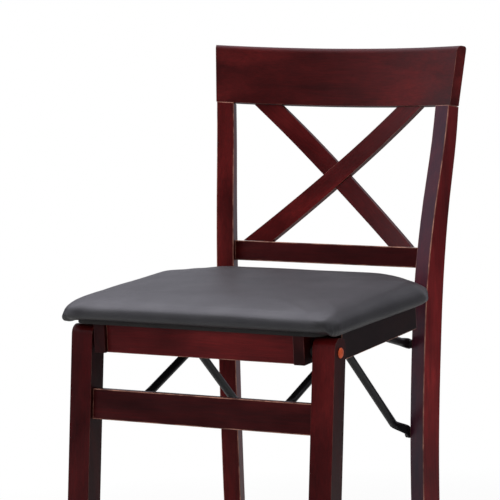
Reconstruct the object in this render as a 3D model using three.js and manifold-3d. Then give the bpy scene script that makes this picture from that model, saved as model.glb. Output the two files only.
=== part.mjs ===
// A folding bar stool: crossed-slat back, padded seat, wooden legs and black steel braces.
// Millimetres. X runs across, Y to the back, Z up, and the stool stands on Z = 0.

import * as THREE from 'three';
import { mergeVertices } from 'three/addons/utils/BufferGeometryUtils.js';
import Module from 'manifold-3d';

const wasm = await Module();
wasm.setup();

// Driving sizes of the whole
const front_width = 443;
const seat_height = 762;
const back_height = 1004;
const joint_gap = 0.3;
const cut_reach = 300;

// Places of the pivots in the side view: Y, and the depth under the seat's top
const seat_long_place = [-231, 66];
const seat_short_place = [-191.2, 69];
const brace_place = [-191.2, 103.3];
const stretcher_place = [-366, 158];
const leg_place = [-380, 66.5];

// Pivots on the posts: the depth behind the post's front edge, and under the seat's top
const post_low_place = [8.538, 270];
const post_high_place = [6.141, 128.5];

// Back posts, which are curved boards turned towards the middle of the back
const post_spacing = 348.6;
const post_thickness = 28;
const post_depth = 39;
const post_turn = THREE.MathUtils.degToRad(17.6);
const post_sweep = 62;
const post_height_shares = [0, 0.12, 0.25, 0.37, 0.487, 0.617, 0.729, 0.832, 0.935, 1];
const post_front_shares = [-0.27, -0.36, -0.42, -0.41, -0.35, -0.2, 0, 0.334, 0.777, 1];
const post_depth_shares = [0.92, 0.94, 0.95, 0.96, 0.98, 1, 0.98, 0.86, 0.72, 0.63];

// Top rail, a plank bent in an arc and leaned back
const rail_height = 93.5;
const rail_thickness = 20.3;
const rail_front_round = 9.5;
const rail_rear_round = 5;
const rail_radius = 640;
const rail_low_width = 416;
const rail_high_width = 431;
const rail_end_y = 56;
const rail_lean = THREE.MathUtils.degToRad(13.8);

// Lower back rail and crossed slats
const low_rail_height = 32;
const low_rail_thickness = 20;
const low_rail_share = 0.7475;
const low_rail_inset = 11;
const slat_spread = 254;
const slat_width = 46;
const slat_thickness = 11;
const slat_inset = 7;
const slat_proud = 1.5;

// Rear stretcher
const rear_stretcher_height = 45;
const rear_stretcher_thickness = 18;
const rear_stretcher_base = 190;

// Front legs
const leg_width = 36;
const leg_depth = 35;
const leg_lean = THREE.MathUtils.degToRad(8.25);
const leg_top_rise = 21;
const leg_top_round = 15;

// Front stretcher and footrest, measured down the leg from its pivot
const stretcher_height = 46;
const stretcher_thickness = 19;
const stretcher_inset = 5.6;
const stretcher_drop = 98;
const footrest_height = 46;
const footrest_thickness = 22;
const footrest_drop = 425;

// Seat frame
const frame_drop = 83;
const frame_height = 43.5;
const side_rail_thickness = 18;
const side_rail_gap = 9;
const side_rail_front = -405.5;
const side_rail_rear = -45;
const outer_rail_inset = 8;
const outer_rail_rear = -104;
const leg_stop_gap = 1.2;
const apron_thickness = 18;
const apron_inset = 6;
const rear_apron_inset = 12;

// Seat board and cushion
const board_thickness = 7;
const board_inset = 13;
const board_front = -411;
const board_rear = -61;
const board_front_corner = 20;
const board_rear_corner = 45;
const cushion_overhang = 12;
const cushion_front = -425.5;
const cushion_rear = -39.5;
const cushion_front_corner = 30;
const cushion_rear_corner = 69;
const cushion_height = 36;
const cushion_shoulder = 38;
const cushion_inset_shares = [0.32, 0.2, 0.11, 0.04, 0, 0.013, 0.064, 0.157, 0.284, 0.434, 0.613, 1, 2.1];
const cushion_rise_shares = [0, 0.03, 0.09, 0.17, 0.31, 0.47, 0.62, 0.74, 0.83, 0.9, 0.95, 0.978, 0.992];
const cushion_front_droop = 0;
const cushion_rear_droop = 34;
const cushion_droop_power = 2.9;

// Steel braces and their pins
const tube_radius = 6.5;
const tab_radius = 8;
const tab_thickness = 4;
const tab_run = 26;
const long_brace_inset = 25;
const high_brace_inset = 9.5;
const short_brace_inset = 39;
const low_tab_inset = 3.5;
const high_tab_inset = 5;
const pin_radius = 4;
const pin_head_radius = 7.5;
const pin_head_height = 2.5;
const pin_hole_gap = 0.3;
const bush_radius = 7;
const clip_thickness = 2.5;
const clip_width = 20;

// Leg pivot
const rivet_radius = 8;
const rivet_rise = 2.6;
const rivet_shank_radius = 4;

// Foot glides
const glide_radius = 12;
const glide_height = 4;

// Colours and surfaces
const espresso = new THREE.MeshStandardMaterial({ color: 0x3f1416, roughness: 0.38, metalness: 0 });
const vinyl = new THREE.MeshStandardMaterial({ color: 0x4b4547, roughness: 0.5, metalness: 0 });
const black_steel = new THREE.MeshStandardMaterial({ color: 0x17181a, roughness: 0.4, metalness: 0.6 });
const copper = new THREE.MeshStandardMaterial({ color: 0xb4633c, roughness: 0.35, metalness: 0.9 });
const dark_board = new THREE.MeshStandardMaterial({ color: 0x1e1a19, roughness: 0.8, metalness: 0 });
const zinc = new THREE.MeshStandardMaterial({ color: 0x8f9296, roughness: 0.4, metalness: 0.9 });
const nylon = new THREE.MeshStandardMaterial({ color: 0x1b1a1a, roughness: 0.6, metalness: 0 });

// Sizes that follow
const half_width = front_width / 2;
const leg_inner_x = half_width - leg_width;
const side_rail_outer_x = leg_inner_x - side_rail_gap;
const side_rail_inner_x = side_rail_outer_x - side_rail_thickness;
const outer_rail_outer_x = half_width - outer_rail_inset;
const frame_base = seat_height - frame_drop;
const frame_top = frame_base + frame_height;
const cushion_base = seat_height - cushion_height;
const long_brace_x = side_rail_inner_x - long_brace_inset;
const high_brace_x = side_rail_inner_x - high_brace_inset;
const short_brace_x = side_rail_inner_x - short_brace_inset;
const post_x = post_spacing / 2;
const back_axis_y = -post_x / Math.tan(post_turn);
const back_radius = post_x / Math.sin(post_turn);
const post_front_curve = new THREE.SplineCurve(post_height_shares.map(
  (share, i) => new THREE.Vector2(post_front_shares[i] * post_sweep, share * back_height),
));
const [seat_long_pivot, seat_short_pivot, brace_pivot, stretcher_pivot, leg_pivot] = [
  seat_long_place, seat_short_place, brace_place, stretcher_place, leg_place,
].map(([y, drop]) => [y, seat_height - drop]);
const [post_low_pivot, post_high_pivot] = [post_low_place, post_high_place]
  .map(([inset, drop]) => [post_front(seat_height - drop) + inset, seat_height - drop]);

const stool = new THREE.Group();

function add_piece(name, geometry, material, parent = stool) {
  const mesh = new THREE.Mesh(geometry, material.clone());
  mesh.name = name;
  parent.add(mesh);
  return mesh;
}

// Turn a geometry into a solid for joining and cutting, and back again

function to_solid(geometry) {
  const bare = geometry.clone();
  bare.deleteAttribute('normal');
  bare.deleteAttribute('uv');
  const merged = mergeVertices(bare, joint_gap / 1000);
  return new wasm.Manifold(new wasm.Mesh({
    numProp: 3,
    vertProperties: new Float32Array(merged.attributes.position.array),
    triVerts: new Uint32Array(merged.index.array),
  }));
}

function to_geometry(solid) {
  const mesh = solid.getMesh();
  const geometry = new THREE.BufferGeometry();
  geometry.setAttribute('position', new THREE.BufferAttribute(new Float32Array(mesh.vertProperties), 3));
  geometry.setIndex(new THREE.BufferAttribute(new Uint32Array(mesh.triVerts), 1));
  geometry.computeVertexNormals();
  return geometry;
}

function cut(geometry, ...tools) {
  return to_geometry(tools.reduce((solid, tool) => solid.subtract(to_solid(tool)), to_solid(geometry)));
}

function join(geometry, ...others) {
  return to_geometry(others.reduce((solid, other) => solid.add(to_solid(other)), to_solid(geometry)));
}

// Basic solids

function block(x0, x1, y0, y1, z0, z1) {
  const box = new THREE.BoxGeometry(x1 - x0, y1 - y0, z1 - z0);
  return box.translate((x0 + x1) / 2, (y0 + y1) / 2, (z0 + z1) / 2);
}

// A shape drawn in Y and Z, given thickness along X
function side_board(shape, thickness) {
  const options = { depth: thickness, bevelEnabled: false, curveSegments: 12 };
  const board = new THREE.ExtrudeGeometry(shape, options);
  board.translate(0, 0, -thickness / 2);
  const turn = new THREE.Matrix4().makeBasis(
    new THREE.Vector3(0, 1, 0), new THREE.Vector3(0, 0, 1), new THREE.Vector3(1, 0, 0),
  );
  return board.applyMatrix4(turn);
}

// A round bar along X
function cross_bar(x0, x1, y, z, radius, sides = 20) {
  const bar = new THREE.CylinderGeometry(radius, radius, Math.abs(x1 - x0), sides);
  return bar.rotateZ(Math.PI / 2).translate((x0 + x1) / 2, y, z);
}

// A block bent over a surface: place(u, v, w) gives the point, and w runs through its thickness
function bent_block(u_steps, v_steps, place) {
  const points = [];
  const faces = [];
  const index = (i, j, side) => (side * (u_steps + 1) + i) * (v_steps + 1) + j;
  for (let side = 0; side < 2; side += 1) {
    for (let i = 0; i <= u_steps; i += 1) {
      for (let j = 0; j <= v_steps; j += 1) {
        points.push(place(i / u_steps, j / v_steps, side));
      }
    }
  }
  const quad = (a, b, c, d) => faces.push(a, b, c, a, c, d);
  for (let i = 0; i < u_steps; i += 1) {
    for (let j = 0; j < v_steps; j += 1) {
      quad(index(i, j, 0), index(i + 1, j, 0), index(i + 1, j + 1, 0), index(i, j + 1, 0));
      quad(index(i, j, 1), index(i, j + 1, 1), index(i + 1, j + 1, 1), index(i + 1, j, 1));
    }
    quad(index(i, 0, 0), index(i, 0, 1), index(i + 1, 0, 1), index(i + 1, 0, 0));
    quad(index(i, v_steps, 0), index(i + 1, v_steps, 0), index(i + 1, v_steps, 1), index(i, v_steps, 1));
  }
  for (let j = 0; j < v_steps; j += 1) {
    quad(index(0, j, 0), index(0, j + 1, 0), index(0, j + 1, 1), index(0, j, 1));
    quad(index(u_steps, j, 0), index(u_steps, j, 1), index(u_steps, j + 1, 1), index(u_steps, j + 1, 0));
  }
  return outward(points, faces);
}

// Build a geometry and turn its faces outward
function outward(points, faces) {
  let volume = 0;
  for (let i = 0; i < faces.length; i += 3) {
    const [a, b, c] = [points[faces[i]], points[faces[i + 1]], points[faces[i + 2]]];
    volume += a.dot(b.clone().cross(c));
  }
  const order = volume > 0 ? faces : faces.slice().reverse();
  const geometry = new THREE.BufferGeometry().setFromPoints(points);
  geometry.setIndex(order);
  geometry.computeVertexNormals();
  return geometry;
}

// The front face of the back, as the posts and slats follow it

function post_front(z) {
  const share = THREE.MathUtils.clamp(z / back_height, 0, 1);
  let low = 0;
  let high = 1;
  while (high - low > Number.EPSILON) {
    const middle = (low + high) / 2;
    if (middle === low || middle === high) break;
    if (post_front_curve.getPoint(middle).y < share * back_height) low = middle;
    else high = middle;
  }
  return post_front_curve.getPoint(low).x;
}

function back_surface_y(x, z) {
  const radius = back_radius + post_front(z);
  return back_axis_y + Math.sqrt(radius * radius - x * x);
}

// The line of the top rail's underside at a depth Y
function rail_underside(y) {
  return back_height - (y - rail_end_y) * Math.tan(rail_lean);
}

// Turn a geometry drawn for the right side in the post's own axes to its place on either side
function post_frame(side) {
  const place = new THREE.Matrix4().makeTranslation(post_x, 0, 0);
  place.multiply(new THREE.Matrix4().makeRotationZ(-post_turn));
  return side > 0 ? place : mirror_x().multiply(place);
}

function mirror_x() {
  return new THREE.Matrix4().makeScale(-1, 1, 1);
}

// Mirroring turns a solid inside out, so its faces are turned back
function place_geometry(geometry, matrix) {
  const placed = geometry.clone().applyMatrix4(matrix);
  if (matrix.determinant() >= 0) return placed;
  const loose = placed.index ? placed.toNonIndexed() : placed;
  const position = loose.attributes.position;
  for (let i = 0; i < position.count; i += 3) {
    const [x, y, z] = [position.getX(i), position.getY(i), position.getZ(i)];
    position.setXYZ(i, position.getX(i + 1), position.getY(i + 1), position.getZ(i + 1));
    position.setXYZ(i + 1, x, y, z);
  }
  loose.computeVertexNormals();
  return loose;
}

function mirrored(geometry) {
  return place_geometry(geometry, mirror_x());
}

function between_posts(geometry) {
  const slab = place_geometry(
    block(-joint_gap, cut_reach, -cut_reach, cut_reach, -cut_reach, back_height + cut_reach)
      .translate(-post_thickness / 2, 0, 0),
    post_frame(1),
  );
  return cut(geometry, slab, mirrored(slab));
}

// Top rail, its section swept round the arc

function rail_point(x_share, rise, depth) {
  const width = THREE.MathUtils.lerp(rail_low_width, rail_high_width, rise / rail_height);
  const angle = x_share * Math.asin(width / 2 / rail_radius);
  const end_depth = Math.sqrt(rail_radius * rail_radius - (rail_low_width * rail_low_width) / 4);
  const out = (rail_radius + depth) * Math.cos(angle) - end_depth;
  return new THREE.Vector3(
    (rail_radius + depth) * Math.sin(angle),
    rail_end_y + out * Math.cos(rail_lean) + rise * Math.sin(rail_lean),
    back_height - out * Math.sin(rail_lean) + rise * Math.cos(rail_lean),
  );
}

// The rail's section as depth and rise, rounded over along the top
function rail_section() {
  const section = new THREE.Shape();
  section.moveTo(0, 0);
  section.lineTo(rail_thickness, 0);
  section.lineTo(rail_thickness, rail_height - rail_rear_round);
  const [rear_x, rear_z] = [rail_thickness - rail_rear_round, rail_height - rail_rear_round];
  section.absarc(rear_x, rear_z, rail_rear_round, 0, Math.PI / 2);
  section.lineTo(rail_front_round, rail_height);
  const front_z = rail_height - rail_front_round;
  section.absarc(rail_front_round, front_z, rail_front_round, Math.PI / 2, Math.PI);
  const points = section.getPoints(6);
  return points.filter((spot, i) => i === 0 || spot.distanceTo(points[i - 1]) > joint_gap / 10);
}

function swept(section, steps, place) {
  const points = [];
  const faces = [];
  const count = section.length;
  for (let i = 0; i <= steps; i += 1) {
    section.forEach((spot) => points.push(place((2 * i) / steps - 1, spot)));
  }
  for (let i = 0; i < steps; i += 1) {
    for (let k = 0; k < count; k += 1) {
      const next = (k + 1) % count;
      const [a, b] = [i * count + k, i * count + next];
      faces.push(a, b, b + count, a, b + count, a + count);
    }
  }
  const last = steps * count;
  for (let k = 1; k < count - 1; k += 1) {
    faces.push(0, k + 1, k, last, last + k, last + k + 1);
  }
  return outward(points, faces);
}

add_piece('top_rail', swept(rail_section(), 32, (u, spot) => rail_point(u, spot.y, spot.x)), espresso);

// Back posts

function post_outline() {
  const depth_curve = new THREE.SplineCurve(post_height_shares.map(
    (share, i) => new THREE.Vector2(post_depth_shares[i] * post_depth, share * back_height),
  ));
  const steps = 30;
  const front = [];
  const rear = [];
  for (let i = 0; i <= steps; i += 1) {
    const edge = post_front_curve.getPoint(i / steps);
    const depth = depth_curve.getPoint(i / steps).x;
    front.push(new THREE.Vector2(edge.x, edge.y));
    rear.push(new THREE.Vector2(edge.x + depth, edge.y));
  }
  const foot = glide_height + joint_gap;
  front[0].y = foot;
  rear[0].y = foot;
  return new THREE.Shape([...front, ...rear.reverse()]);
}

// Everything above the top rail's underside, for cutting the posts to length
function above_rail() {
  const space = block(-cut_reach, cut_reach, -cut_reach, cut_reach, -joint_gap, cut_reach);
  return space.rotateX(-rail_lean).translate(0, rail_end_y, back_height);
}

const right_post = cut(side_board(post_outline(), post_thickness).applyMatrix4(post_frame(1)), above_rail());
add_piece('back_post_right', right_post, espresso);
add_piece('back_post_left', mirrored(right_post), espresso);

// Lower back rail

function leaned_board(width, y, z, height, thickness, lean) {
  const board = block(-width / 2, width / 2, 0, thickness, 0, height);
  return board.rotateX(-lean).translate(0, y, z);
}

function lean_at(z, height) {
  return Math.atan((post_front(z + height) - post_front(z)) / height);
}

const low_rail_base = low_rail_share * back_height;
const low_rail_y = back_surface_y(post_x - post_thickness / 2, low_rail_base) + low_rail_inset;
const low_rail_lean = lean_at(low_rail_base, low_rail_height);
const low_rail_top = low_rail_base + low_rail_height * Math.cos(low_rail_lean);
const low_rail_top_y = low_rail_y + low_rail_height * Math.sin(low_rail_lean);
add_piece('lower_back_rail', between_posts(leaned_board(
  front_width, low_rail_y, low_rail_base, low_rail_height, low_rail_thickness, low_rail_lean,
)), espresso);

// Crossed slats, halved into each other where they cross

function slat(lean_side, front_share, rear_share, reach) {
  const depth_at = (w) => slat_inset + slat_thickness * THREE.MathUtils.lerp(front_share, rear_share, w);
  return bent_block(24, 3, (u, v, w) => {
    const middle = lean_side * THREE.MathUtils.lerp(-slat_spread / 2, slat_spread / 2, u);
    const x = middle + (v - 0.5) * (slat_width + 2 * reach);
    const y_low = back_surface_y(x, low_rail_top) + depth_at(w);
    const y_high = back_surface_y(x, back_height) + depth_at(w);
    const low = low_rail_top - (y_low - low_rail_top_y) * Math.tan(low_rail_lean) + joint_gap;
    const high = rail_underside(y_high) - joint_gap;
    const z = THREE.MathUtils.lerp(low, high, u);
    return new THREE.Vector3(x, back_surface_y(x, z) + depth_at(w), z);
  });
}

const proud_share = -slat_proud / slat_thickness;
const half_lap_share = 0.5;
const gap_share = joint_gap / slat_thickness;
add_piece('back_slat_front', cut(
  slat(1, proud_share, 1, 0),
  slat(-1, half_lap_share, 2, joint_gap),
), espresso);
add_piece('back_slat_rear', cut(
  slat(-1, 0, 1, 0),
  slat(1, -1, half_lap_share + gap_share, joint_gap),
), espresso);

// Rear stretcher, between the rear legs

const rear_stretcher_y = back_surface_y(post_x - post_thickness / 2, rear_stretcher_base)
  + (post_depth - rear_stretcher_thickness) / 2;
add_piece('rear_stretcher', between_posts(leaned_board(
  front_width, rear_stretcher_y, rear_stretcher_base, rear_stretcher_height, rear_stretcher_thickness,
  lean_at(rear_stretcher_base, rear_stretcher_height),
)), espresso);

// Foot glides, flat on the floor

function glide(x, y) {
  const pad = new THREE.CylinderGeometry(glide_radius, glide_radius, glide_height, 24);
  return pad.rotateX(Math.PI / 2).translate(x, y, glide_height / 2);
}

const post_foot = new THREE.Vector3(0, post_front(0) + (post_depth * post_depth_shares[0]) / 2, 0)
  .applyMatrix4(post_frame(1));
const leg_foot_y = leg_pivot[0] - leg_pivot[1] * Math.tan(leg_lean);
for (const [side, name] of [[1, 'right'], [-1, 'left']]) {
  add_piece(`rear_glide_${name}`, glide(side * post_foot.x, post_foot.y), nylon);
  add_piece(`front_glide_${name}`, glide(side * (half_width - leg_width / 2), leg_foot_y), nylon);
}

// Front legs, stretcher and footrest, drawn about the leg pivot and leaned as one frame

const front_frame = new THREE.Group();
front_frame.position.set(0, leg_pivot[0], leg_pivot[1]);
front_frame.rotation.x = -leg_lean;
stool.add(front_frame);

function leg_outline() {
  const half = leg_depth / 2;
  const foot_top = glide_height + joint_gap - leg_pivot[1];
  const foot = (y) => (foot_top + y * Math.sin(leg_lean)) / Math.cos(leg_lean);
  const outline = new THREE.Shape();
  outline.moveTo(-half, foot(-half));
  outline.lineTo(half, foot(half));
  const [centre_y, centre_z] = [half - leg_top_round, leg_top_rise - leg_top_round];
  outline.absarc(centre_y, centre_z, leg_top_round, 0, Math.PI / 2, false);
  outline.absarc(-centre_y, centre_z, leg_top_round, Math.PI / 2, Math.PI, false);
  return outline;
}

function leg_cross_board(drop, height, thickness, inset) {
  const reach = leg_inner_x - joint_gap;
  const face = -leg_depth / 2 + inset;
  return block(-reach, reach, face, face + thickness, -drop - height / 2, -drop + height / 2);
}

for (const [side, name] of [[1, 'right'], [-1, 'left']]) {
  const leg = side_board(leg_outline(), leg_width).translate(side * (half_width - leg_width / 2), 0, 0);
  const bore = cross_bar(-cut_reach, cut_reach, 0, 0, rivet_shank_radius + pin_hole_gap);
  add_piece(`front_leg_${name}`, cut(leg, bore), espresso, front_frame);
}
const stretcher_mesh = add_piece('front_stretcher', leg_cross_board(
  stretcher_drop, stretcher_height, stretcher_thickness, stretcher_inset,
), espresso, front_frame);
add_piece('footrest_rail', leg_cross_board(
  footrest_drop, footrest_height, footrest_thickness, (leg_depth - footrest_thickness) / 2,
), espresso, front_frame);

// Seat frame

for (const [side, name] of [[1, 'right'], [-1, 'left']]) {
  const facing = (geometry) => (side > 0 ? geometry : mirrored(geometry));
  const leg_bore = cross_bar(0, cut_reach, ...leg_pivot, rivet_shank_radius + pin_hole_gap);
  const brace_bore = cross_bar(0, side_rail_inner_x + side_rail_thickness / 2, ...seat_long_pivot,
    pin_radius + pin_hole_gap);
  const inner = block(side_rail_inner_x, side_rail_outer_x, side_rail_front, side_rail_rear,
    frame_base, frame_top);
  add_piece(`seat_side_rail_${name}`, facing(cut(inner, leg_bore, brace_bore)), espresso);
  const outer_front = leg_pivot[0] + leg_depth / 2 / Math.cos(leg_lean)
    + (frame_top - leg_pivot[1]) * Math.tan(leg_lean) + leg_stop_gap;
  const outer = block(side_rail_outer_x + joint_gap, outer_rail_outer_x, outer_front, outer_rail_rear,
    frame_base, frame_top);
  add_piece(`outer_side_rail_${name}`, facing(outer), espresso);
}
const apron_reach = side_rail_inner_x - joint_gap;
const apron_y = side_rail_front + apron_inset;
add_piece('front_apron', block(-apron_reach, apron_reach, apron_y, apron_y + apron_thickness,
  frame_base, frame_top), espresso);
const rear_apron_y = side_rail_rear - rear_apron_inset - apron_thickness;
add_piece('rear_apron', block(-apron_reach, apron_reach, rear_apron_y, rear_apron_y + apron_thickness,
  frame_base, frame_top), espresso);

// Seat board

const board_base = frame_top + joint_gap;
const board_top = board_base + board_thickness;

function board_blank(extra, height) {
  const x = half_width - board_inset + extra;
  const [front, rear] = [board_front - extra, board_rear + extra];
  const [front_round, rear_round] = [board_front_corner + extra, board_rear_corner + extra];
  const outline = new THREE.Shape();
  outline.absarc(x - rear_round, rear - rear_round, rear_round, 0, Math.PI / 2, false);
  outline.absarc(-x + rear_round, rear - rear_round, rear_round, Math.PI / 2, Math.PI, false);
  outline.absarc(-x + front_round, front + front_round, front_round, Math.PI, Math.PI * 1.5, false);
  outline.absarc(x - front_round, front + front_round, front_round, Math.PI * 1.5, Math.PI * 2, false);
  const blank = new THREE.ExtrudeGeometry(outline, { depth: height, bevelEnabled: false, curveSegments: 6 });
  return blank.translate(0, 0, board_base);
}

add_piece('seat_board', board_blank(0, board_thickness), dark_board);

// Cushion: drawn in under its edge, fullest part way up, crowned, and drooping at its rear corners

const cushion_half_x = half_width + cushion_overhang;
const cushion_half_y = (cushion_rear - cushion_front) / 2;
const cushion_middle_y = (cushion_rear + cushion_front) / 2;

function cushion_outline(inset) {
  const points = [];
  const per_corner = 8;
  for (let corner = 0; corner < 4; corner += 1) {
    const [sx, sy] = [[1, 1], [-1, 1], [-1, -1], [1, -1]][corner];
    const radius = sy > 0 ? cushion_rear_corner : cushion_front_corner;
    for (let i = 0; i <= per_corner; i += 1) {
      const angle = (Math.PI / 2) * (corner + i / per_corner);
      points.push([
        sx * (cushion_half_x - inset - radius) + radius * Math.cos(angle),
        sy * (cushion_half_y - inset - radius) + radius * Math.sin(angle),
      ]);
    }
  }
  return points;
}

function cushion_point(x, y, rise) {
  const corner = Math.abs(x / cushion_half_x) * Math.abs(y / cushion_half_y);
  const droop = (y > 0 ? cushion_rear_droop : cushion_front_droop) * corner ** cushion_droop_power;
  const height = seat_height - cushion_base - droop;
  return new THREE.Vector3(x, y + cushion_middle_y, cushion_base + rise * height);
}

function cushion_blank() {
  const rings = cushion_inset_shares.map((share, i) => cushion_outline(share * cushion_shoulder)
    .map(([x, y]) => cushion_point(x, y, cushion_rise_shares[i])));
  const count = rings[0].length;
  const points = [...rings.flat(), cushion_point(0, 0, 0), cushion_point(0, 0, 1)];
  const faces = [];
  const top_ring = (rings.length - 1) * count;
  for (let i = 0; i < count; i += 1) {
    const next = (i + 1) % count;
    for (let k = 0; k < rings.length - 1; k += 1) {
      const [a, b, c, d] = [k * count + i, k * count + next, (k + 1) * count + next, (k + 1) * count + i];
      faces.push(a, b, c, a, c, d);
    }
    faces.push(points.length - 2, next, i);
    faces.push(points.length - 1, top_ring + i, top_ring + next);
  }
  return outward(points, faces);
}

const board_pocket = board_blank(joint_gap, board_thickness + joint_gap);
add_piece('seat_cushion', cut(cushion_blank(), board_pocket), vinyl);

// Steel braces: tubes with flattened ends, each in its own plane across the stool

function brace(from, to, x, from_x, to_x) {
  const start = new THREE.Vector2(...from);
  const end = new THREE.Vector2(...to);
  const length = start.distanceTo(end);
  const along = end.clone().sub(start).normalize();
  const across = new THREE.Vector2(-along.y, along.x);
  const ease = (t) => t * t * (3 - 2 * t);
  const stations = [-tab_radius, -tab_radius * 0.9, -tab_radius * 0.7, -tab_radius * 0.35, 0, tab_radius];
  const bend_shares = [0.2, 0.4, 0.6, 0.8, 1];
  const near = [...stations, ...bend_shares.map((share) => tab_radius + share * (tab_run - tab_radius))];
  const places = [...near, length / 2, ...near.map((s) => length - s).reverse()];
  const sides = 16;
  const points = [];
  const faces = [];
  places.forEach((s, k) => {
    const inward = Math.min(s, length - s);
    const tube = ease(THREE.MathUtils.clamp((inward - tab_radius) / (tab_run - tab_radius), 0, 1));
    const end_x = s < length / 2 ? from_x : to_x;
    const round = inward < 0 ? Math.sqrt(Math.max(0, 1 - (inward / tab_radius) ** 2)) : 1;
    const tab_half_width = Math.max(round * tab_radius, tab_thickness / 4);
    const wide = THREE.MathUtils.lerp(tab_half_width, tube_radius, tube);
    const thick = THREE.MathUtils.lerp(tab_thickness / 2, tube_radius, tube);
    const centre_x = THREE.MathUtils.lerp(end_x, x, tube);
    const power = THREE.MathUtils.lerp(0.35, 1, tube);
    for (let i = 0; i < sides; i += 1) {
      const angle = (2 * Math.PI * (i + 0.5)) / sides;
      const cosine = Math.sign(Math.cos(angle)) * Math.abs(Math.cos(angle)) ** power;
      const sine = Math.sign(Math.sin(angle)) * Math.abs(Math.sin(angle)) ** power;
      const spot = start.clone().addScaledVector(along, s).addScaledVector(across, wide * cosine);
      points.push(new THREE.Vector3(centre_x + thick * sine, spot.x, spot.y));
      if (k > 0) {
        const [a, b] = [(k - 1) * sides + i, (k - 1) * sides + ((i + 1) % sides)];
        faces.push(a, b, b + sides, a, b + sides, a + sides);
      }
    }
  });
  const last = (places.length - 1) * sides;
  for (let i = 1; i < sides - 1; i += 1) {
    faces.push(0, i + 1, i);
    faces.push(last, last + i, last + i + 1);
  }
  return outward(points, faces);
}

function pin_hole([y, z]) {
  return cross_bar(0, cut_reach, y, z, pin_radius + pin_hole_gap);
}

// A pin along X with a head on its inner end
function headed_pin(head_x, end_x, [y, z]) {
  return join(
    cross_bar(head_x, end_x, y, z, pin_radius),
    cross_bar(head_x - pin_head_height, head_x, y, z, pin_head_radius),
  );
}

function post_inner_x(y) {
  return post_x + (y * Math.sin(post_turn) - post_thickness / 2) / Math.cos(post_turn);
}

const post_tab_x = post_inner_x(post_low_pivot[0]) - low_tab_inset;
const high_tab_x = post_inner_x(post_high_pivot[0]) - high_tab_inset;
const rail_tab_x = side_rail_inner_x - pin_head_height - tab_thickness / 2;
const tab_half = tab_thickness / 2;

for (const [side, name] of [[1, 'right'], [-1, 'left']]) {
  const facing = (geometry) => (side > 0 ? geometry : mirrored(geometry));
  const long_brace = cut(
    brace(post_low_pivot, seat_long_pivot, long_brace_x, post_tab_x, long_brace_x),
    pin_hole(post_low_pivot), pin_hole(seat_long_pivot),
  );
  add_piece(`long_brace_${name}`, facing(long_brace), black_steel);
  const high_brace = cut(
    brace(post_high_pivot, seat_short_pivot, high_brace_x, high_tab_x, rail_tab_x),
    pin_hole(post_high_pivot), pin_hole(seat_short_pivot),
  );
  add_piece(`upper_brace_${name}`, facing(high_brace), black_steel);
  const short_brace = cut(
    brace(stretcher_pivot, brace_pivot, short_brace_x, short_brace_x, short_brace_x),
    pin_hole(stretcher_pivot), pin_hole(brace_pivot),
  );
  add_piece(`short_brace_${name}`, facing(short_brace), black_steel);

  // Pins and bushes on the post's inner face
  const post_ends = [['low', post_low_pivot, post_tab_x], ['high', post_high_pivot, high_tab_x]];
  for (const [level, place, tab_x] of post_ends) {
    const pin = headed_pin(tab_x - tab_half - joint_gap, post_x, place);
    const bush = cross_bar(tab_x + tab_half + joint_gap, post_x, ...place, bush_radius);
    add_piece(`post_pin_${level}_${name}`, facing(between_posts(join(pin, bush))), zinc);
  }

  // Pins at the seat: one carries the long brace, one is fixed in the upper brace
  const seat_pin_end = side_rail_inner_x + side_rail_thickness / 2 - joint_gap;
  const seat_pin = headed_pin(long_brace_x - tab_half - joint_gap, seat_pin_end, seat_long_pivot);
  add_piece(`seat_pin_${name}`, facing(seat_pin), zinc);
  const upper_pin = headed_pin(rail_tab_x - tab_half - joint_gap, side_rail_inner_x - joint_gap,
    seat_short_pivot);
  add_piece(`upper_brace_pin_${name}`, facing(upper_pin), zinc);

  // Pin fixed in the short brace, beside the long brace
  const short_pin = headed_pin(short_brace_x - tab_half - joint_gap, long_brace_x - tube_radius - joint_gap,
    brace_pivot);
  add_piece(`short_brace_pin_${name}`, facing(short_pin), zinc);
}

// Hinge clips on the stretcher's back, drawn in the front frame's own axes

function in_front_frame([y, z]) {
  const [dy, dz] = [y - leg_pivot[0], z - leg_pivot[1]];
  return [
    dy * Math.cos(leg_lean) - dz * Math.sin(leg_lean),
    dy * Math.sin(leg_lean) + dz * Math.cos(leg_lean),
  ];
}

const stretcher_rear = -leg_depth / 2 + stretcher_inset + stretcher_thickness;
for (const [side, name] of [[1, 'right'], [-1, 'left']]) {
  const facing = (geometry) => (side > 0 ? geometry : mirrored(geometry));
  const [pivot_y, pivot_z] = in_front_frame(stretcher_pivot);
  const ear_x = short_brace_x + tab_half + joint_gap;
  const back = stretcher_rear + joint_gap;
  const plate = block(ear_x, ear_x + clip_width, back, back + clip_thickness,
    pivot_z - clip_width / 2, pivot_z + clip_width / 2);
  const ear = block(ear_x, ear_x + clip_thickness, back, pivot_y,
    pivot_z - clip_width / 2, pivot_z + clip_width / 2);
  const ear_end = cross_bar(ear_x, ear_x + clip_thickness, pivot_y, pivot_z, clip_width / 2, 24);
  const bore = cross_bar(0, cut_reach, pivot_y, pivot_z, pin_radius + pin_hole_gap);
  const clip = cut(join(plate, ear, ear_end), bore);
  add_piece(`stretcher_clip_${name}`, facing(clip), black_steel, front_frame);
  const clip_pin = join(
    headed_pin(short_brace_x - tab_half - joint_gap, ear_x + clip_thickness + joint_gap, [pivot_y, pivot_z]),
    cross_bar(ear_x + clip_thickness + joint_gap, ear_x + clip_thickness + pin_head_height, pivot_y, pivot_z,
      pin_head_radius),
  );
  add_piece(`clip_pin_${name}`, facing(clip_pin), zinc, front_frame);
}

// Leg pivots: a copper rivet through leg and side rail, and a washer between them

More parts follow.
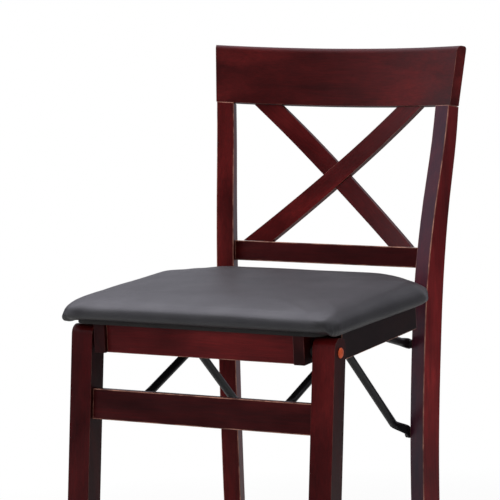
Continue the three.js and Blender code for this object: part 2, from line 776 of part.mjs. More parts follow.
function rivet_head(radius, rise) {
  const shares = [[0, 0], [1, 0], [0.97, 0.35], [0.8, 0.75], [0.45, 0.96], [0, 1]];
  const profile = shares.map(([out, up]) => new THREE.Vector2(out * radius, up * rise));
  return new THREE.LatheGeometry(profile, 24).rotateZ(-Math.PI / 2);
}

for (const [side, name] of [[1, 'right'], [-1, 'left']]) {
  const facing = (geometry) => (side > 0 ? geometry : mirrored(geometry));
  const [y, z] = leg_pivot;
  const head_x = half_width + joint_gap;
  const tail_x = side_rail_inner_x + joint_gap;
  const head = rivet_head(rivet_radius, rivet_rise).translate(head_x, y, z);
  const shank = cross_bar(tail_x, head_x + rivet_rise / 4, y, z, rivet_shank_radius);
  add_piece(`leg_rivet_${name}`, facing(join(shank, head)), copper);
  const washer = cut(
    cross_bar(side_rail_outer_x + joint_gap, leg_inner_x - joint_gap, y, z, rivet_radius),
    cross_bar(0, cut_reach, y, z, rivet_shank_radius + pin_hole_gap),
  );
  add_piece(`leg_washer_${name}`, facing(washer), nylon);
}

// Stand the stool over the middle of its own floor plan
stool.updateMatrixWorld(true);
const extent = new THREE.Box3().setFromObject(stool, true);
stool.position.y = -(extent.min.y + extent.max.y) / 2;

export default stool;
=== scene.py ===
import math

import bmesh
import bpy
from mathutils import Matrix, Vector, noise


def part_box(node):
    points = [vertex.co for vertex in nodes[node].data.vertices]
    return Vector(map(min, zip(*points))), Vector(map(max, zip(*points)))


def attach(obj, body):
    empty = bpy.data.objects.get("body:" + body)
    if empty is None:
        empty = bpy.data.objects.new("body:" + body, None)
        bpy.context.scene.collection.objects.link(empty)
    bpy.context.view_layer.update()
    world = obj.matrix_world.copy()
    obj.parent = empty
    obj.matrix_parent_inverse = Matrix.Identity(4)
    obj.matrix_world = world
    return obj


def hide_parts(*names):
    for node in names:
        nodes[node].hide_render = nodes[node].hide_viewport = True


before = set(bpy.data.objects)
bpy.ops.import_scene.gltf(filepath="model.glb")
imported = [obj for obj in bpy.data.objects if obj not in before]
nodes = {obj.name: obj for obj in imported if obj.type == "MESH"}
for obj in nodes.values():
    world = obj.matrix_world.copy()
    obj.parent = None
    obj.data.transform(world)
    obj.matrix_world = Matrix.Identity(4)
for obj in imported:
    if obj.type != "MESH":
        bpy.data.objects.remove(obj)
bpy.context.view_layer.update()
scene = bpy.context.scene

# Camera, at the photograph's place and angle

CAMERA_AZIMUTH = math.radians(28.70)
CAMERA_PITCH = math.radians(9.26)
CAMERA_ROLL = math.radians(-2.47)
CAMERA_DISTANCE = 4.451
CAMERA_TARGET = Vector((-0.1276, 0.18360, 0.7540))
FOCAL_PIXELS = 2764.0
PICTURE_PIXELS = 500.0
CENTRE_ROW = 260.4
SENSOR_WIDTH = 36.0
CLIP_END = 100.0

right = Vector((math.cos(CAMERA_AZIMUTH), math.sin(CAMERA_AZIMUTH), 0))
ahead = Vector((-math.sin(CAMERA_AZIMUTH) * math.cos(CAMERA_PITCH),
                math.cos(CAMERA_AZIMUTH) * math.cos(CAMERA_PITCH), -math.sin(CAMERA_PITCH)))
upward = right.cross(ahead)
rolled_right = right * math.cos(CAMERA_ROLL) + upward * math.sin(CAMERA_ROLL)
rolled_up = upward * math.cos(CAMERA_ROLL) - right * math.sin(CAMERA_ROLL)
eye = CAMERA_TARGET - ahead * CAMERA_DISTANCE
aim = (ahead + rolled_up * (CENTRE_ROW - PICTURE_PIXELS / 2) / FOCAL_PIXELS).normalized()
true_up = rolled_right.cross(aim)
camera_data = bpy.data.cameras.new("camera")
camera_data.sensor_width = SENSOR_WIDTH
camera_data.lens = SENSOR_WIDTH * FOCAL_PIXELS / PICTURE_PIXELS
camera_data.clip_end = CLIP_END
camera_data.dof.use_dof = False
camera = bpy.data.objects.new("camera", camera_data)
camera.matrix_world = Matrix((
    (rolled_right.x, true_up.x, -aim.x, eye.x),
    (rolled_right.y, true_up.y, -aim.y, eye.y),
    (rolled_right.z, true_up.z, -aim.z, eye.z),
    (0, 0, 0, 1),
))
scene.collection.objects.link(camera)
scene.camera = camera
scene.view_settings.view_transform = "Standard"


# Node helpers

def new_material(name):
    material = bpy.data.materials.new(name)
    material.use_nodes = True
    tree = material.node_tree
    return material, tree, tree.nodes["Principled BSDF"]


def feed(tree, socket, value):
    if isinstance(value, bpy.types.NodeSocket):
        tree.links.new(value, socket)
    elif isinstance(value, (int, float)):
        socket.default_value = value
    else:
        socket.default_value = (*value, 1.0)


def object_place(tree, scale, turn=(0, 0, 0), move=(0, 0, 0)):
    place = tree.nodes.new("ShaderNodeTexCoord")
    mapping = tree.nodes.new("ShaderNodeMapping")
    mapping.vector_type = "TEXTURE"
    mapping.inputs["Rotation"].default_value = turn
    mapping.inputs["Location"].default_value = move
    mapping.inputs["Scale"].default_value = [1.0 / share for share in scale]
    tree.links.new(place.outputs["Object"], mapping.inputs["Vector"])
    return mapping.outputs["Vector"]


def noise_node(tree, vector, scale, detail, rough=0.5, distort=0.0, output="Fac"):
    made = tree.nodes.new("ShaderNodeTexNoise")
    for key, value in (("Scale", scale), ("Detail", detail), ("Roughness", rough), ("Distortion", distort)):
        made.inputs[key].default_value = value
    tree.links.new(vector, made.inputs["Vector"])
    return made.outputs[output]


def attribute(tree, name):
    made = tree.nodes.new("ShaderNodeAttribute")
    made.attribute_name = name
    return made.outputs["Fac"]


def ramp(tree, value, stops):
    made = tree.nodes.new("ShaderNodeValToRGB")
    elements = made.color_ramp.elements
    while len(elements) < len(stops):
        elements.new(0.5)
    for element, (place, color) in zip(elements, stops):
        element.position = place
        element.color = (*color, 1.0)
    tree.links.new(value, made.inputs["Fac"])
    return made.outputs["Color"]


def span(tree, value, low, high, to_low, to_high):
    made = tree.nodes.new("ShaderNodeMapRange")
    for key, number in (("From Min", low), ("From Max", high), ("To Min", to_low), ("To Max", to_high)):
        made.inputs[key].default_value = number
    tree.links.new(value, made.inputs["Value"])
    return made.outputs["Result"]


def mix(tree, factor, one, two, mode="MIX"):
    made = tree.nodes.new("ShaderNodeMix")
    made.data_type = "RGBA"
    made.blend_type = mode
    for socket, value in ((made.inputs[0], factor), (made.inputs[6], one), (made.inputs[7], two)):
        feed(tree, socket, value)
    return made.outputs[2]


def math_node(tree, kind, one, two):
    made = tree.nodes.new("ShaderNodeMath")
    made.operation = kind
    feed(tree, made.inputs[0], one)
    feed(tree, made.inputs[1], two)
    return made.outputs[0]


def bump(tree, height, distance, strength, normal=None):
    made = tree.nodes.new("ShaderNodeBump")
    made.inputs["Distance"].default_value = distance
    made.inputs["Strength"].default_value = strength
    tree.links.new(height, made.inputs["Height"])
    if normal is not None:
        tree.links.new(normal, made.inputs["Normal"])
    return made.outputs["Normal"]


# Stained wood: streaks along the grain, blotches of stain, and a lighter colour on the arrises that is partly
# stain rubbed thin and partly a painted highlight. Some pieces also get painted light or painted shade on
# their right-hand faces, and one gets a painted bluish reflection on its other faces.
# The scales are in repeats per metre, along the grain and across it twice.

BAND_SCALE = (3.0, 26.0, 26.0)
BLOTCH_SCALE = (7.0, 11.0, 11.0)
STREAK_SCALE = (22.0, 420.0, 420.0)
PORE_SCALE = (95.0, 1500.0, 1500.0)
WEAR_AND_HIGHLIGHT_SCALE = (45.0, 60.0, 60.0)
PEEL_SCALE = (160.0, 160.0, 160.0)
SEED_STEPS = (0.37, 0.91, 0.53)
STAIN_STOPS = (0.31, 0.5, 0.69)
STREAK_TONES = [(0.3, (0.62, 0.56, 0.54)), (0.52, (1.0, 1.0, 1.0)), (0.72, (1.4, 1.32, 1.28))]
STREAK_SHARE = 0.75
PORE_TONES = [(0.30, (0.45, 0.4, 0.4)), (0.40, (1.0, 1.0, 1.0))]
PORE_SHARE = 0.55
WEAR_AND_HIGHLIGHT_RANGE = (0.36, 0.64, 0.15, 0.9)
ROUGH_BELOW, ROUGH_ABOVE = 0.05, 0.08
LACQUER_WEIGHT, LACQUER_ROUGHNESS, LACQUER_GLOSS = 0.04, 0.2, 0.28
PEEL_DEPTH, PEEL_STRENGTH = 0.00006, 0.6
STREAK_DEPTH, STREAK_STRENGTH = 0.00005, 0.5


def wood_material(name, turn, seed, stain_and_shade_tones, edge, rough, side_light_and_shade, painted_front_reflection):
    material, tree, shader = new_material(name)
    shift = [seed * step for step in SEED_STEPS]

    def grain(scale, detail, roughness, distort=0.0):
        return noise_node(tree, object_place(tree, scale, turn, shift), 1.0, detail, roughness, distort)

    band = grain(BAND_SCALE, 3.0, 0.55, 0.6)
    blotch = grain(BLOTCH_SCALE, 3.0, 0.6, 0.3)
    streak = grain(STREAK_SCALE, 5.0, 0.65)
    pore = grain(PORE_SCALE, 2.0, 0.5)
    color = ramp(tree, mix(tree, 0.5, band, blotch), list(zip(STAIN_STOPS, stain_and_shade_tones)))
    color = mix(tree, STREAK_SHARE, color, ramp(tree, streak, STREAK_TONES), "MULTIPLY")
    color = mix(tree, PORE_SHARE, color, ramp(tree, pore, PORE_TONES), "MULTIPLY")
    # Painted light and shade: the right-hand faces are multiplied by this piece's strength, and the other
    # faces get a painted reflection added.
    if side_light_and_shade != 1.0:
        front = mix(tree, 1.0, color, painted_front_reflection, "ADD")
        side = mix(tree, 1.0, color, (side_light_and_shade, side_light_and_shade, side_light_and_shade), "MULTIPLY")
        color = mix(tree, attribute(tree, "side_light_and_shade"), front, side)
    # Lighter colour on the eased arrises: partly stain rubbed thin, partly a painted highlight.
    wear_and_highlight_noise = grain(WEAR_AND_HIGHLIGHT_SCALE, 3.0, 0.6)
    worn_and_highlit = math_node(tree, "MULTIPLY", attribute(tree, "arris"), span(tree, wear_and_highlight_noise, *WEAR_AND_HIGHLIGHT_RANGE))
    tree.links.new(mix(tree, worn_and_highlit, color, edge), shader.inputs["Base Color"])
    roughness = span(tree, blotch, 0.3, 0.7, rough - ROUGH_BELOW, rough + ROUGH_ABOVE)
    tree.links.new(roughness, shader.inputs["Roughness"])
    shader.inputs["Coat Weight"].default_value = LACQUER_WEIGHT
    shader.inputs["Coat Roughness"].default_value = LACQUER_ROUGHNESS
    shader.inputs["Specular IOR Level"].default_value = LACQUER_GLOSS
    peel = noise_node(tree, object_place(tree, PEEL_SCALE), 1.0, 2.0)
    lacquer = bump(tree, peel, PEEL_DEPTH, PEEL_STRENGTH)
    tree.links.new(bump(tree, streak, STREAK_DEPTH, STREAK_STRENGTH, lacquer), shader.inputs["Normal"])
    return material


# Vinyl: a fine leather grain of warped cells, and a soft unevenness in tone and gloss

CELL_SCALE, CELL_WOBBLE_SCALE, CELL_WOBBLE = 620.0, 260.0, 0.0016
CELL_GROOVE, CELL_TONE_SHARE = 0.16, 0.30
VINYL_FINE_SCALE, VINYL_SOFT_SCALE = 1900.0, 16.0
VINYL_ROUGH_LOW, VINYL_ROUGH_HIGH, VINYL_GLOSS = 0.36, 0.44, 0.68


def vinyl_material(name, color, second):
    material, tree, shader = new_material(name)
    place = object_place(tree, (1.0, 1.0, 1.0))
    wobble = noise_node(tree, place, CELL_WOBBLE_SCALE, 2.0, output="Color")
    cell = tree.nodes.new("ShaderNodeTexVoronoi")
    cell.feature = "DISTANCE_TO_EDGE"
    cell.inputs["Scale"].default_value = CELL_SCALE
    tree.links.new(mix(tree, CELL_WOBBLE, place, wobble), cell.inputs["Vector"])
    grain = ramp(tree, cell.outputs["Distance"], [(0.0, (0.0, 0.0, 0.0)), (CELL_GROOVE, (1.0, 1.0, 1.0))])
    fine = noise_node(tree, place, VINYL_FINE_SCALE, 3.0, 0.6)
    soft = noise_node(tree, place, VINYL_SOFT_SCALE, 3.0)
    base = mix(tree, span(tree, soft, 0.35, 0.65, 0.0, 1.0), color, second)
    tree.links.new(mix(tree, CELL_TONE_SHARE, base, grain, "MULTIPLY"), shader.inputs["Base Color"])
    tree.links.new(span(tree, soft, 0.3, 0.7, VINYL_ROUGH_LOW, VINYL_ROUGH_HIGH), shader.inputs["Roughness"])
    shader.inputs["Specular IOR Level"].default_value = VINYL_GLOSS
    low = bump(tree, fine, 0.00005, 0.5)
    tree.links.new(bump(tree, grain, 0.00012, 0.7, low), shader.inputs["Normal"])
    return material


# Metal and nylon, mottled a little in tone and gloss

MOTTLE_SCALE, GRIT_SCALE, GRIT_DEPTH = 90.0, 1400.0, 0.00003
MOTTLE_DARK, MOTTLE_LIGHT = 0.7, 1.25


def metal_material(name, color, metallic, rough, grit=0.4):
    material, tree, shader = new_material(name)
    place = object_place(tree, (1.0, 1.0, 1.0))
    mottle = noise_node(tree, place, MOTTLE_SCALE, 4.0, 0.6)
    fine = noise_node(tree, place, GRIT_SCALE, 2.0, 0.6)
    dark = [channel * MOTTLE_DARK for channel in color]
    light = [min(1.0, channel * MOTTLE_LIGHT) for channel in color]
    tree.links.new(ramp(tree, mottle, [(0.3, dark), (0.7, light)]), shader.inputs["Base Color"])
    shader.inputs["Metallic"].default_value = metallic
    tree.links.new(span(tree, mottle, 0.3, 0.7, rough - 0.06, rough + 0.08), shader.inputs["Roughness"])
    tree.links.new(bump(tree, fine, GRIT_DEPTH, grit), shader.inputs["Normal"])
    return material


# The board under the cushion, near-black: painted shade standing in for the shade under the cushion's edge

BOARD_MOTTLE_SCALE, BOARD_FINE_SCALE = (14.0, 22.0, 22.0), (60.0, 900.0, 900.0)
BOARD_SHADE_TONES = [(0.3, (0.010, 0.009, 0.009)), (0.7, (0.019, 0.016, 0.015))]
BOARD_ROUGHNESS = 0.75


def shade_board_material(name):
    material, tree, shader = new_material(name)
    mottle = noise_node(tree, object_place(tree, BOARD_MOTTLE_SCALE), 1.0, 4.0, 0.6, 0.6)
    fine = noise_node(tree, object_place(tree, BOARD_FINE_SCALE), 1.0, 3.0, 0.6)
    tree.links.new(ramp(tree, mottle, BOARD_SHADE_TONES), shader.inputs["Base Color"])
    shader.inputs["Roughness"].default_value = BOARD_ROUGHNESS
    tree.links.new(bump(tree, fine, 0.00008, 0.5), shader.inputs["Normal"])
    return material


# Rigid pieces: the CAD shape with its arrises eased. Lengths are in metres.

WELD_DISTANCE = 0.00002
SMOOTH_ANGLE = math.radians(34)
FLAT_ANGLE, FINE_FLAT_ANGLE = math.radians(0.35), math.radians(0.05)
ARRIS_ANGLE, TUBE_ARRIS_ANGLE = math.radians(35), math.radians(50)


def clean_copy(node):
    mesh = bmesh.new()
    mesh.from_mesh(nodes[node].data)
    bmesh.ops.remove_doubles(mesh, verts=mesh.verts, dist=WELD_DISTANCE)
    bmesh.ops.recalc_face_normals(mesh, faces=mesh.faces)
    return mesh


def sharp_edges(mesh, limit):
    return [edge for edge in mesh.edges if len(edge.link_faces) == 2 and edge.calc_face_angle(0.0) > limit]


def finish_mesh(name, mesh, body, node, material):
    data = bpy.data.meshes.new(name)
    mesh.to_mesh(data)
    mesh.free()
    piece = bpy.data.objects.new(name, data)
    scene.collection.objects.link(piece)
    data.materials.append(material)
    data.shade_smooth()
    data.set_sharp_from_angle(angle=SMOOTH_ANGLE)
    weigh = piece.modifiers.new("weigh", "WEIGHTED_NORMAL")
    weigh.keep_sharp = True
    weigh.weight = 60
    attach(piece, body)
    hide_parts(node)


# Two values per corner go to the wood: "arris" on the eased edges, which carry rubbed stain and a painted
# highlight, and one on the right-hand faces, which carries painted light and shade
def eased_piece(node, body, material, ease, steps, flat=FLAT_ANGLE, limit=ARRIS_ANGLE):
    mesh = clean_copy(node)
    bmesh.ops.dissolve_limit(mesh, angle_limit=flat, verts=mesh.verts, edges=mesh.edges)
    made = bmesh.ops.bevel(mesh, geom=sharp_edges(mesh, limit), offset=ease, offset_type="OFFSET",
                           segments=steps, profile=0.5, affect="EDGES", clamp_overlap=True,
                           harden_normals=False)
    worn = mesh.loops.layers.float.new("arris")
    for face in made["faces"]:
        for loop in face.loops:
            loop[worn] = 1.0
    # Right-hand faces get a value for painted light and shade.
    side_light_and_shade = mesh.loops.layers.float.new("side_light_and_shade")
    for face in mesh.faces:
        for loop in face.loops:
            loop[side_light_and_shade] = min(1.0, max(0.0, face.normal.x)) ** 2
    finish_mesh("look_" + node, mesh, body, node, material)


# The wooden pieces

X_GRAIN = (0, 0, 0)
Y_GRAIN = (0, 0, math.pi / 2)
Z_GRAIN = (0, math.pi / 2, 0)
SLAT_RISE = math.atan2(0.219, 0.254)
SLAT_GRAIN, CROSSING_SLAT_GRAIN = (0, -SLAT_RISE, 0), (0, SLAT_RISE, 0)
STAINS = ((0.021, 0.0012, 0.0015), (0.050, 0.0022, 0.0026), (0.098, 0.0050, 0.0052))
# Arris colours: partly stain rubbed thin, partly a painted highlight.
WORN_AND_HIGHLIT_EDGE, DIM_WORN_AND_HIGHLIT_EDGE = (0.42, 0.20, 0.145), (0.11, 0.028, 0.024)
# A painted bluish reflection for front faces, and none.
PAINTED_FRONT_REFLECTION, PLAIN_FRONT = (0.0, 0.007, 0.016), (0.0, 0.0, 0.0)
WOOD_ROUGHNESS, TOP_RAIL_ROUGHNESS = 0.36, 0.5
WOOD_STEPS = 3

# Each wooden node: its body, grain, stain strength, warmth, strength of the painted light and shade on its
# right-hand faces, and easing
wooden = [
    # On the right-hand faces the top rail and right post are painted lighter (painted light), the front legs
    # darker (painted shade).
    ("top_rail", "back_frame", X_GRAIN, 0.85, 1.1, 1.6, 0.0024),
    ("back_post_right", "back_frame", Z_GRAIN, 0.9, 0.95, 2.5, 0.0012),
    ("back_post_left", "back_frame", Z_GRAIN, 1.15, 1.1, 1.0, 0.0012),
    ("lower_back_rail", "back_frame", X_GRAIN, 0.72, 0.95, 1.0, 0.0015),
    ("back_slat_front", "back_frame", SLAT_GRAIN, 1.0, 1.2, 1.0, 0.0012),
    ("back_slat_rear", "back_frame", CROSSING_SLAT_GRAIN, 1.0, 1.1, 1.0, 0.0012),
    ("rear_stretcher", "back_frame", X_GRAIN, 0.9, 1.0, 1.0, 0.0015),
    ("front_leg_right", "front_frame", Z_GRAIN, 0.95, 1.0, 0.4, 0.0018),
    ("front_leg_left", "front_frame", Z_GRAIN, 0.9, 1.0, 0.5, 0.0018),
    ("front_stretcher", "front_frame", X_GRAIN, 0.62, 1.0, 1.0, 0.0015),
    ("footrest_rail", "front_frame", X_GRAIN, 0.9, 1.0, 1.0, 0.0018),
    ("seat_side_rail_right", "seat", Y_GRAIN, 0.5, 0.8, 1.0, 0.0012),
    ("seat_side_rail_left", "seat", Y_GRAIN, 0.5, 0.8, 1.0, 0.0012),
    # The outer side rails' low stain strength and warmth are painted shade, for the shade under the cushion's
    # overhang.
    ("outer_side_rail_right", "seat", Y_GRAIN, 0.2, 0.6, 1.0, 0.0012),
    ("outer_side_rail_left", "seat", Y_GRAIN, 0.2, 0.6, 1.0, 0.0012),
    ("front_apron", "seat", X_GRAIN, 1.7, 0.95, 1.0, 0.0012),
    ("rear_apron", "seat", X_GRAIN, 0.9, 1.0, 1.0, 0.0012),
]
for seed, (node, body, grain, gain, warmth, side_light_and_shade, ease) in enumerate(wooden, 1):
    stain_and_shade_tones = [(red * gain * warmth, green * gain, blue * gain) for red, green, blue in STAINS]
    # The seat side rails get a dimmer arris colour, partly rubbed stain and partly a painted highlight.
    edge = DIM_WORN_AND_HIGHLIT_EDGE if node.startswith("seat_side_rail") else WORN_AND_HIGHLIT_EDGE
    rough = TOP_RAIL_ROUGHNESS if node == "top_rail" else WOOD_ROUGHNESS
    # The right post's front faces get a painted bluish reflection.
    painted_front_reflection = PAINTED_FRONT_REFLECTION if node == "back_post_right" else PLAIN_FRONT
    stained = wood_material("wood_" + node, grain, seed, stain_and_shade_tones, edge, rough, side_light_and_shade, painted_front_reflection)
    eased_piece(node, body, stained, ease, WOOD_STEPS)

# Steel braces, pins, rivets, glides and the board under the cushion

METAL_EASE, HEAD_EASE, GLIDE_EASE = 0.0006, 0.0004, 0.0008
METAL_STEPS, GLIDE_STEPS = 2, 3

black_steel = metal_material("black_steel", (0.005, 0.005, 0.006), 0.0, 0.34, 0.6)
pin_steel = metal_material("pin_steel", (0.10, 0.10, 0.105), 0.9, 0.36)
copper = metal_material("copper", (0.66, 0.10, 0.028), 0.3, 0.4)
nylon = metal_material("nylon", (0.014, 0.013, 0.013), 0.0, 0.55)
shade_dark_board = shade_board_material("shade_dark_board")

for side in ("right", "left"):
    for node, body in (("long_brace", "long_braces"), ("upper_brace", "upper_braces"),
                       ("short_brace", "short_braces"), ("stretcher_clip", "front_frame")):
        eased_piece(f"{node}_{side}", body, black_steel, METAL_EASE, METAL_STEPS,
                    FINE_FLAT_ANGLE, TUBE_ARRIS_ANGLE)
    for node, body in (("post_pin_low", "back_frame"), ("post_pin_high", "back_frame"), ("seat_pin", "seat"),
                       ("upper_brace_pin", "upper_braces"), ("short_brace_pin", "short_braces"),
                       ("clip_pin", "front_frame")):
        eased_piece(f"{node}_{side}", body, pin_steel, METAL_EASE, METAL_STEPS)
    eased_piece(f"leg_rivet_{side}", "seat", copper, HEAD_EASE, METAL_STEPS)
    eased_piece(f"leg_washer_{side}", "seat", nylon, HEAD_EASE, METAL_STEPS)
    eased_piece(f"front_glide_{side}", "front_frame", nylon, GLIDE_EASE, GLIDE_STEPS)
    eased_piece(f"rear_glide_{side}", "back_frame", nylon, GLIDE_EASE, GLIDE_STEPS)
# The board's near-black colour is painted shade under the cushion.
eased_piece("seat_board", "seat", shade_dark_board, GLIDE_EASE, METAL_STEPS)

# Seat cushion: foam and vinyl, swollen by a cloth simulation from the CAD shape, drawn in first to make room

DRAWN_IN, DRAWN_RISE, DRAWN_FROM_RISE, DRAWN_FROM_REACH = 0.0022, 0.3, 0.02, 0.8
VOXEL_SIZE = 0.0050
RELAX_FACTOR, RELAX_ROUNDS = 0.5, 4
HELD_HEIGHT = 0.006
SWELL_LIMIT = 0.003
SWELL_FRAMES = 20
FOAM = {
    "quality": 6,
    "mass": 0.4,
    "tension_stiffness": 18,
    "compression_stiffness": 18,
    "shear_stiffness": 10,
    "bending_stiffness": 1.2,
    "use_pressure": True,
    "uniform_pressure_force": 4.0,
    "vertex_group_mass": "held",
}

low, high = (Vector(corner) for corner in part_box("seat_cushion"))
middle = (low + high) / 2
half = (high - low) / 2


def height_share(place):
    return (place.z - low.z) / (high.z - low.z)


def outward(place):
    return Vector((place.x - middle.x, place.y - middle.y))


def reach_share(around):
    return max(abs(around.x) / half.x, abs(around.y) / half.y)


def cushion_mesh():
    mesh = clean_copy("seat_cushion")
    for vert in mesh.verts:
        rise = height_share(vert.co)
        around = outward(vert.co)
        if rise > DRAWN_FROM_RISE and reach_share(around) > DRAWN_FROM_REACH:
            shrink = DRAWN_IN * min(1.0, rise / DRAWN_RISE)
            vert.co.x -= shrink * around.x / half.x
            vert.co.y -= shrink * around.y / half.y
    data = bpy.data.meshes.new("seat_pad")
    mesh.to_mesh(data)
    mesh.free()
    return data


def apply_modifiers(piece):
    graph = bpy.context.evaluated_depsgraph_get()
    data = bpy.data.meshes.new_from_object(piece.evaluated_get(graph))
    piece.modifiers.clear()
    piece.data = data


def swell(piece):
    rest = [vert.co.copy() for vert in piece.data.vertices]
    held = piece.vertex_groups.new(name="held")
    for vert in piece.data.vertices:
        if vert.co.z < low.z + HELD_HEIGHT:
            held.add([vert.index], 1.0, "REPLACE")
    cloth = piece.modifiers.new("cloth", "CLOTH")
    for key, value in FOAM.items():
        setattr(cloth.settings, key, value)
    cloth.settings.effector_weights.gravity = 0.0
    cloth.collision_settings.use_collision = False
    cloth.collision_settings.use_self_collision = False
    cloth.point_cache.frame_start = 1
    cloth.point_cache.frame_end = SWELL_FRAMES
    for number in range(1, SWELL_FRAMES + 1):
        scene.frame_set(number)
    apply_modifiers(piece)
    scene.frame_set(1)
    largest = max((vert.co - start).length for vert, start in zip(piece.data.vertices, rest))
    share = min(1.0, SWELL_LIMIT / largest)
    for vert, start in zip(piece.data.vertices, rest):
        vert.co = start + (vert.co - start) * share


pad = bpy.data.objects.new("seat_pad", cushion_mesh())
scene.collection.objects.link(pad)
remesh = pad.modifiers.new("remesh", "REMESH")
remesh.mode = "VOXEL"
remesh.voxel_size = VOXEL_SIZE
remesh.use_smooth_shade = True
apply_modifiers(pad)
relax = pad.modifiers.new("smooth", "SMOOTH")
relax.factor = RELAX_FACTOR
relax.iterations = RELAX_ROUNDS
apply_modifiers(pad)
swell(pad)

# The cover: pleats round the corners, a rim that hangs beside the rails, lowest at the back, a gentle slope
# towards the front edge, and the cover gathered into a knob at each front corner

FRONT_CORNER, REAR_CORNER = 0.030, 0.069
PLEAT_DEPTH, PLEAT_COUNT, PLEAT_START, PLEAT_RUN = 0.0011, 20.0, 0.008, 0.016
PLEAT_FULL_RISE, PLEAT_FADE_RISE = 0.12, 0.42
RIM_WIDTH, RIM_EASE_SHARE, RIM_POWER = 0.019, 0.45, 1.5
SIDE_SAG, REAR_SAG, FRONT_LIFT = 0.0055, 0.0060, 0.0025
FRONT_SLOPE_REACH, FRONT_SLOPE = 0.090, 0.0042
SLOPE_RISE_GAIN, SLOPE_RISE_START = 1.6, 0.6
KNOB_REACH, KNOB_SIZE, KNOB_RISE = 0.0065, 0.0085, 0.006
UNEVEN_DEPTH, UNEVEN_SCALE, UNEVEN_FROM_RISE = 0.0006, 9.0, 0.55
WAVE_DEPTH, WAVE_SCALE, WAVE_FROM_RISE, WAVE_FROM_REACH = 0.0004, 22.0, 0.03, 0.85


def eased(value):
    value = min(1.0, max(0.0, value))
    return value * value * (3.0 - 2.0 * value)


def pleat(place):
    around = outward(place)
    bend = REAR_CORNER if around.y > 0 else FRONT_CORNER
    corner = Vector((math.copysign(half.x - bend, around.x), math.copysign(half.y - bend, around.y)))
    out = around - corner
    if out.x * corner.x < 0 or out.y * corner.y < 0 or out.length < PLEAT_START:
        return 0.0
    angle = math.atan2(abs(out.y), abs(out.x))
    fade = max(0.0, 1.0 - max(0.0, height_share(place) - PLEAT_FULL_RISE) / PLEAT_FADE_RISE)
    fade *= min(1.0, (out.length - PLEAT_START) / PLEAT_RUN)
    edge = math.sin(min(1.0, max(0.0, angle / (math.pi / 2))) * math.pi)
    return PLEAT_DEPTH * fade * edge * math.cos(angle * PLEAT_COUNT)


def rim(place):
    around = outward(place)
    low_part = max(0.0, 1.0 - height_share(place)) ** RIM_POWER
    ease = RIM_EASE_SHARE * RIM_WIDTH
    side = eased((abs(around.x) - (half.x - RIM_WIDTH)) / ease)
    front = eased((-around.y - (half.y - RIM_WIDTH)) / ease) * (1.0 - side)
    sag = SIDE_SAG + REAR_SAG * eased(0.5 + 0.5 * around.y / half.y)
    return low_part * (FRONT_LIFT * front - sag * side)


def front_slope(place):
    near = eased(1.0 - (place.y - low.y) / FRONT_SLOPE_REACH)
    return -FRONT_SLOPE * near * eased(height_share(place) * SLOPE_RISE_GAIN - SLOPE_RISE_START)


def knob(place):
    bend = FRONT_CORNER * (1.0 - math.sqrt(0.5))
    side = math.copysign(half.x - bend, place.x - middle.x) + middle.x
    away = (place - Vector((side, low.y + bend, low.z + KNOB_RISE))).length
    return KNOB_REACH * math.exp(-(away / KNOB_SIZE) ** 2)


subdivide = pad.modifiers.new("subdivide", "SUBSURF")
subdivide.levels = 1
subdivide.render_levels = 1
apply_modifiers(pad)
for vert in pad.data.vertices:
    place = vert.co
    around = outward(place)
    reach = reach_share(around)
    rise = height_share(place)
    out = Vector((around.x, around.y, 0)).normalized() if around.length > 0.001 else Vector((0, 0, 0))
    uneven = noise.fractal(place * UNEVEN_SCALE, 1.0, 2.0, 3) * UNEVEN_DEPTH
    swing = rim(place) + front_slope(place)
    place += out * knob(place)
    if rise > UNEVEN_FROM_RISE:
        place.z += uneven
    if reach > WAVE_FROM_REACH and rise > WAVE_FROM_RISE:
        place += out * (pleat(place) + noise.noise(place * WAVE_SCALE) * WAVE_DEPTH)
    place.z = max(place.z, low.z) + swing
pad.data.shade_smooth()
vinyl = vinyl_material("vinyl", (0.028, 0.0275, 0.0300), (0.022, 0.0215, 0.0240))
pad.data.materials.clear()
pad.data.materials.append(vinyl)
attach(pad, "seat")
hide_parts("seat_cushion")

# Pale floor that runs into white surroundings. The camera sees it paler than it lights the stool.

FLOOR_REACH, FLOOR_SEGMENTS = 2.4, 96
FLOOR_TONE, FLOOR_ROUGHNESS, FLOOR_GLOSS = 0.42, 0.8, 0.1
FLOOR_LIFT = 0.52
FADE_START, FADE_END = 0.7, 1.9


def seen_rays(tree):
    rays = tree.nodes.new("ShaderNodeLightPath")
    return math_node(tree, "MAXIMUM", rays.outputs["Is Camera Ray"], rays.outputs["Is Transmission Ray"])


def shining(tree, kind, strength, color=(1.0, 1.0, 1.0)):
    made = tree.nodes.new(kind)
    feed(tree, made.inputs["Color"], color)
    feed(tree, made.inputs["Strength"], strength)
    return made.outputs[0]


def mix_shaders(tree, factor, one, two):
    made = tree.nodes.new("ShaderNodeMixShader")
    for socket, value in zip(made.inputs, (factor, one, two)):
        tree.links.new(value, socket)
    return made.outputs[0]


floor_mesh = bmesh.new()
bmesh.ops.create_circle(floor_mesh, cap_ends=True, segments=FLOOR_SEGMENTS, radius=FLOOR_REACH)
floor_data = bpy.data.meshes.new("floor")
floor_mesh.to_mesh(floor_data)
floor_mesh.free()
floor = bpy.data.objects.new("floor", floor_data)
scene.collection.objects.link(floor)
floor_look, tree, shader = new_material("floor_look")
feed(tree, shader.inputs["Base Color"], (FLOOR_TONE, FLOOR_TONE, FLOOR_TONE))
shader.inputs["Roughness"].default_value = FLOOR_ROUGHNESS
shader.inputs["Specular IOR Level"].default_value = FLOOR_GLOSS
floor_data.materials.append(floor_look)

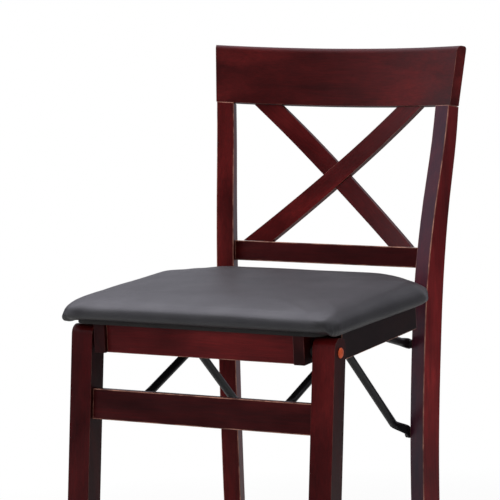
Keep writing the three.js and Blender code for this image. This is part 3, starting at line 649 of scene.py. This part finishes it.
place = tree.nodes.new("ShaderNodeTexCoord")
length = tree.nodes.new("ShaderNodeVectorMath")
length.operation = "LENGTH"
tree.links.new(place.outputs["Object"], length.inputs[0])
away = span(tree, length.outputs["Value"], FADE_START, FADE_END, 0.0, 1.0)
lift = tree.nodes.new("ShaderNodeAddShader")
tree.links.new(shader.outputs[0], lift.inputs[0])
tree.links.new(shining(tree, "ShaderNodeEmission", FLOOR_LIFT), lift.inputs[1])
pale = mix_shaders(tree, away, lift.outputs[0], shining(tree, "ShaderNodeEmission", 1.0))
plain = mix_shaders(tree, seen_rays(tree), shader.outputs[0], pale)
tree.links.new(plain, tree.nodes["Material Output"].inputs["Surface"])

# Surroundings: white to the camera, soft to matt surfaces. Gloss sees the white sweep behind, a tall panel on
# the left, a soft box above, a dimmer one behind on the right, and near darkness elsewhere.

AMBIENT = 0.38
GLOSS_TINT = (0.96, 0.94, 1.06)
GLOSS_FLOOR = 0.05
BACKGROUND = "ShaderNodeBackground"

world = bpy.data.worlds.new("studio")
scene.world = world
world.use_nodes = True
tree = world.node_tree
tree.nodes.clear()
output = tree.nodes.new("ShaderNodeOutputWorld")


# A panel in a direction: its level fades out from one angle off its middle to a wider one, in degrees.
# A flat one has the same level at every height.
def panel(direction, outer, inner, level, flat=False):
    made = tree.nodes.new("ShaderNodeVectorMath")
    made.operation = "DOT_PRODUCT"
    place = tree.nodes.new("ShaderNodeTexCoord").outputs["Generated"]
    if flat:
        squeeze = tree.nodes.new("ShaderNodeVectorMath")
        squeeze.operation = "MULTIPLY"
        squeeze.inputs[1].default_value = (1.0, 1.0, 0.0)
        tree.links.new(place, squeeze.inputs[0])
        unit = tree.nodes.new("ShaderNodeVectorMath")
        unit.operation = "NORMALIZE"
        tree.links.new(squeeze.outputs[0], unit.inputs[0])
        place = unit.outputs[0]
    tree.links.new(place, made.inputs[0])
    made.inputs[1].default_value = Vector(direction).normalized()
    start, end = math.cos(math.radians(outer)), math.cos(math.radians(inner))
    rise = span(tree, made.outputs["Value"], start, end, 0.0, level)
    rise.node.interpolation_type = "SMOOTHSTEP"
    return rise


behind = panel((-0.30, 0.95, 0), 40, 20, 0.34, True)
beside = panel((-0.90, -0.38, 0), 28, 12, 1.1, True)
above = panel((-0.42, 0.34, 0.84), 42, 14, 2.0)
rear_right = panel((0.45, 0.60, 0.65), 34, 12, 0.9)
panels = math_node(tree, "ADD", behind, beside)
for more in (above, rear_right):
    panels = math_node(tree, "MAXIMUM", panels, more)
panels = math_node(tree, "ADD", panels, GLOSS_FLOOR)
rays = tree.nodes.new("ShaderNodeLightPath")
unseen = mix_shaders(tree, rays.outputs["Is Glossy Ray"], shining(tree, BACKGROUND, AMBIENT),
                     shining(tree, BACKGROUND, panels, GLOSS_TINT))
seen = mix_shaders(tree, seen_rays(tree), unseen, shining(tree, BACKGROUND, 1.0))
tree.links.new(seen, output.inputs["Surface"])

# Lamps: name, place, target, width, height and power. They leave no mirror image of their own.

lamps = [
    ("key_left", (-1.9, -1.5, 2.3), (0, 0, 0.75), 1.6, 1.6, 40),
    ("front_fill", (1.1, -2.6, 1.3), (0, 0, 0.7), 1.6, 1.6, 22),
    ("top", (-0.4, 0.2, 3.0), (0, 0, 0.8), 1.8, 1.8, 32),
    ("rear_right", (2.4, 0.9, 1.5), (0, 0.1, 0.8), 1.0, 1.6, 20),
]
for name, spot, target, width, height, power in lamps:
    data = bpy.data.lights.new(name, "AREA")
    data.shape = "RECTANGLE"
    data.size = width
    data.size_y = height
    data.energy = power
    light = bpy.data.objects.new(name, data)
    light.location = spot
    light.rotation_euler = (Vector(target) - Vector(spot)).to_track_quat("-Z", "Y").to_euler()
    light.visible_glossy = False
    scene.collection.objects.link(light)
